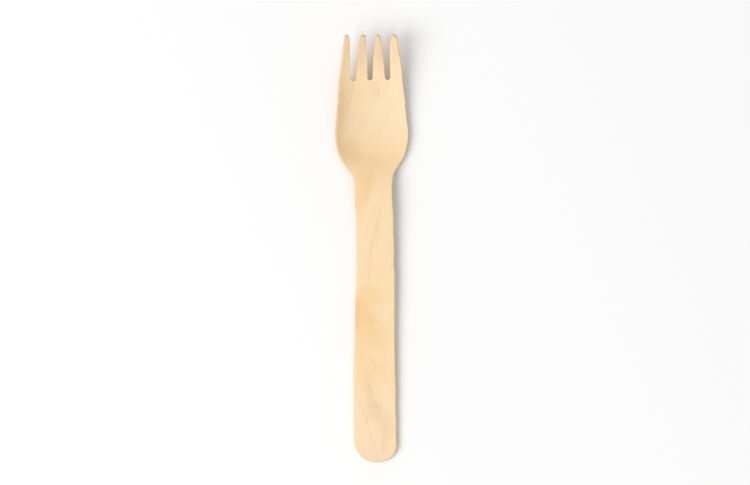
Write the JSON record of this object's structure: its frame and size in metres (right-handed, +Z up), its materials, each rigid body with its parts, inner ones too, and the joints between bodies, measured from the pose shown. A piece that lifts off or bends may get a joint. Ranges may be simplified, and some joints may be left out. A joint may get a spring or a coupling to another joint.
{
  "type": "wooden fork",
  "caption": "Disposable birch veneer fork with a shallow dished head, slim tapered tines and a flat round-ended handle, lying on its back.",
  "frame": {"origin": "bottom centre of the fork's box, on the surface that it lies on", "axes": "+Y along the fork towards the tips of its tines, +X across it to the right seen from above, +Z up"},
  "size_m": [0.0276, 0.1602, 0.0109],
  "materials": {
    "birch": "matte"
  },
  "bodies": {
    "root": {"fork": "birch"}
  },
  "joints": []
}
